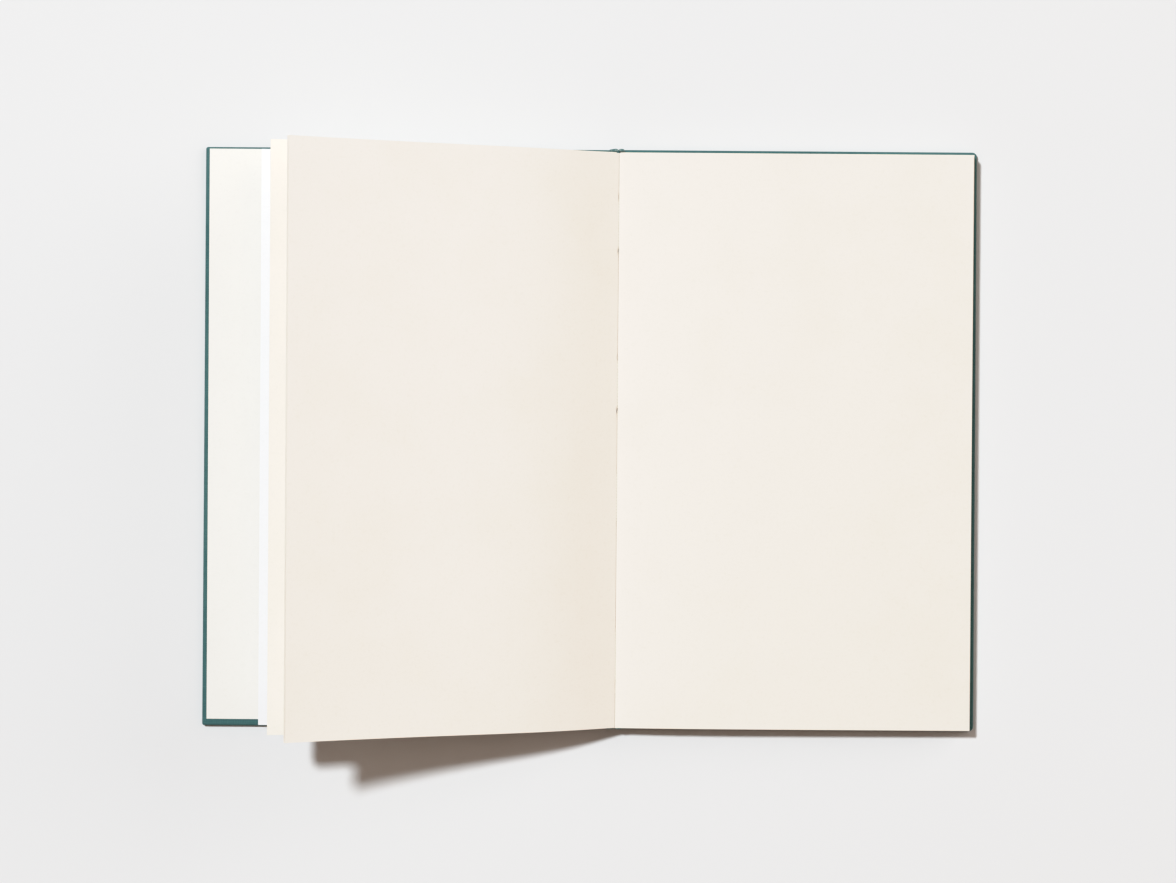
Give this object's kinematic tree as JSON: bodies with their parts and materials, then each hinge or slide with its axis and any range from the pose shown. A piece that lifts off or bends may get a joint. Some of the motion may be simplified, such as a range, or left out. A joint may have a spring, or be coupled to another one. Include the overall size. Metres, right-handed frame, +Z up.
{
  "type": "sketchbook",
  "caption": "Cloth-covered hardcover sketchbook lying open: two boards, a loose spine panel, and a sewn block of cream paper whose left leaves stand raised.",
  "frame": {"origin": "bottom centre of the open book: on the outer face of the case, midway between the two fore edges and midway from tail to head", "axes": "+X across the spread from the front cover's fore edge to the back cover's, +Y from tail to head, +Z up off the surface it lies on"},
  "size_m": [0.2796, 0.21, 0.0696],
  "materials": {
    "book_cloth": "fine woven book cloth, dull teal",
    "board": "grey-brown millboard",
    "liner_paper": "matt off-white paper",
    "flyleaf_paper": "matt cool-white paper",
    "page_paper": "matt cream drawing paper",
    "mull": "stiff open-weave cotton",
    "thread": "waxed linen thread",
    "headband": "woven silk band over a cord"
  },
  "bodies": {
    "back_cover": {"back_cover_cloth": "book_cloth", "back_board": "board", "back_pastedown": "liner_paper", "spine_mull": "mull", "sewing_thread_4": "thread", "headband_rear": "headband", "tailband_rear": "headband"},
    "spine_panel": {"spine_cloth": "book_cloth", "spine_stiffener": "board", "spine_lining": "liner_paper"},
    "front_joint": {"front_joint_cloth": "book_cloth"},
    "front_cover": {"front_cover_cloth": "book_cloth", "front_board": "board", "front_pastedown": "liner_paper"},
    "front_flyleaf": {"front_flyleaf": "flyleaf_paper"},
    "signature_1": {"signature_1": "page_paper", "sewing_thread_1": "thread"},
    "signature_2": {"signature_2": "page_paper", "sewing_thread_2": "thread", "headband_front": "headband", "tailband_front": "headband"},
    "signature_3": {"signature_3": "page_paper", "sewing_thread_3": "thread"},
    "signature_4_left": {"signature_4_left": "page_paper"},
    "signature_4_outer_leaf": {"signature_4_outer_leaf": "page_paper"},
    "signature_4_right": {"signature_4_right": "page_paper"},
    "signature_5": {"signature_5": "page_paper", "sewing_thread_5": "thread"},
    "signature_6": {"signature_6": "page_paper", "sewing_thread_6": "thread"},
    "signature_7": {"signature_7": "page_paper", "sewing_thread_7": "thread"},
    "signature_8": {"signature_8": "page_paper", "sewing_thread_8": "thread"},
    "back_flyleaf": {"back_flyleaf": "flyleaf_paper"},
    "signature_1_fore_half": {"signature_1_fore_half": "page_paper"},
    "signature_2_fore_half": {"signature_2_fore_half": "page_paper"},
    "signature_3_fore_half": {"signature_3_fore_half": "page_paper"},
    "front_flyleaf_strip": {"front_flyleaf_strip": "flyleaf_paper"}
  },
  "joints": [
    {"name": "spine_fold", "type": "hinge", "parent": "back_cover", "child": "spine_panel", "pos_m": [0.0085, 0, 0.001], "axis": [0, 1, 0], "range_deg": [0, 90]},
    {"name": "front_joint_fold", "type": "hinge", "parent": "spine_panel", "child": "front_joint", "pos_m": [-0.0085, 0, 0.001], "axis": [0, 1, 0], "range_deg": [0, 90]},
    {"name": "front_cover_swing", "type": "hinge", "parent": "front_joint", "child": "front_cover", "pos_m": [-0.0115, 0, 0.00017], "axis": [0, 1, 0], "range_deg": [-60, 0]},
    {"name": "signature_1_turn", "type": "hinge", "parent": "back_cover", "child": "signature_1", "pos_m": [0.0102, 0, 0.01], "axis": [0, 1, 0], "range_deg": [0, 155.9]},
    {"name": "signature_2_turn", "type": "hinge", "parent": "back_cover", "child": "signature_2", "pos_m": [0.0102, 0, 0.01], "axis": [0, 1, 0], "range_deg": [0, 155.4]},
    {"name": "signature_3_turn", "type": "hinge", "parent": "back_cover", "child": "signature_3", "pos_m": [0.0102, 0, 0.01], "axis": [0, 1, 0], "range_deg": [0, 154.9]},
    {"name": "signature_4_left_turn", "type": "hinge", "parent": "back_cover", "child": "signature_4_left", "pos_m": [0.0102, 0, 0.01], "axis": [0, 1, 0], "range_deg": [0, 152.2]},
    {"name": "signature_4_outer_leaf_drop", "type": "hinge", "parent": "signature_4_left", "child": "signature_4_outer_leaf", "pos_m": [0.0102, 0, 0.01], "axis": [0, 1, 0], "range_deg": [-2.2, 0]},
    {"name": "signature_4_right_turn", "type": "hinge", "parent": "back_cover", "child": "signature_4_right", "pos_m": [0.0102, 0, 0.01], "axis": [0, 1, 0], "range_deg": [-140, 0]},
    {"name": "signature_5_turn", "type": "hinge", "parent": "back_cover", "child": "signature_5", "pos_m": [0.0102, 0, 0.01], "axis": [0, 1, 0], "range_deg": [-119, 0]},
    {"name": "signature_6_turn", "type": "hinge", "parent": "back_cover", "child": "signature_6", "pos_m": [0.0102, 0, 0.01], "axis": [0, 1, 0], "range_deg": [-98, 0]},
    {"name": "signature_7_turn", "type": "hinge", "parent": "back_cover", "child": "signature_7", "pos_m": [0.0102, 0, 0.01], "axis": [0, 1, 0], "range_deg": [-70, 0]},
    {"name": "signature_8_turn", "type": "hinge", "parent": "back_cover", "child": "signature_8", "pos_m": [0.0102, 0, 0.01], "axis": [0, 1, 0], "range_deg": [-42, 0]},
    {"name": "back_flyleaf_turn", "type": "hinge", "parent": "back_cover", "child": "back_flyleaf", "pos_m": [0.0102, 0, 0.01], "axis": [0, 1, 0], "range_deg": [-14, 0]},
    {"name": "front_flyleaf_strip_turn", "type": "hinge", "parent": "back_cover", "child": "front_flyleaf_strip", "pos_m": [0.0102, 0, 0.01], "axis": [0, 1, 0], "range_deg": [0, 176.6]},
    {"name": "front_flyleaf_drop", "type": "hinge", "parent": "front_flyleaf_strip", "child": "front_flyleaf", "pos_m": [0.00483, 0, 0.00474], "axis": [0, 1, 0], "range_deg": [-3, 0]},
    {"name": "signature_1_droop", "type": "hinge", "parent": "signature_1", "child": "signature_1_fore_half", "pos_m": [-0.0505, 0, 0.03135], "axis": [0, 1, 0], "range_deg": [0, 13.6]},
    {"name": "signature_2_droop", "type": "hinge", "parent": "signature_2", "child": "signature_2_fore_half", "pos_m": [-0.04969, 0, 0.03324], "axis": [0, 1, 0], "range_deg": [0, 13.6]},
    {"name": "signature_3_droop", "type": "hinge", "parent": "signature_3", "child": "signature_3_fore_half", "pos_m": [-0.04885, 0, 0.03512], "axis": [0, 1, 0], "range_deg": [0, 13.6]}
  ],
  "couplings": [
    {"joint": "front_joint_fold", "follows": "signature_1_turn", "ratio": 0.57729},
    {"joint": "spine_fold", "follows": "signature_1_turn", "ratio": 0.57729},
    {"joint": "signature_2_turn", "follows": "signature_1_turn", "ratio": 0.99679},
    {"joint": "signature_3_turn", "follows": "signature_1_turn", "ratio": 0.99359},
    {"joint": "signature_4_left_turn", "follows": "signature_1_turn", "ratio": 0.97627},
    {"joint": "signature_5_turn", "follows": "signature_4_right_turn", "ratio": 0.85},
    {"joint": "signature_6_turn", "follows": "signature_4_right_turn", "ratio": 0.7},
    {"joint": "signature_7_turn", "follows": "signature_4_right_turn", "ratio": 0.5},
    {"joint": "signature_8_turn", "follows": "signature_4_right_turn", "ratio": 0.3},
    {"joint": "back_flyleaf_turn", "follows": "signature_4_right_turn", "ratio": 0.1},
    {"joint": "front_flyleaf_strip_turn", "follows": "signature_1_turn", "ratio": 1.1328},
    {"joint": "signature_1_droop", "follows": "signature_1_turn", "ratio": 0.087235},
    {"joint": "signature_2_droop", "follows": "signature_1_turn", "ratio": 0.087235},
    {"joint": "signature_3_droop", "follows": "signature_1_turn", "ratio": 0.087235}
  ]
}
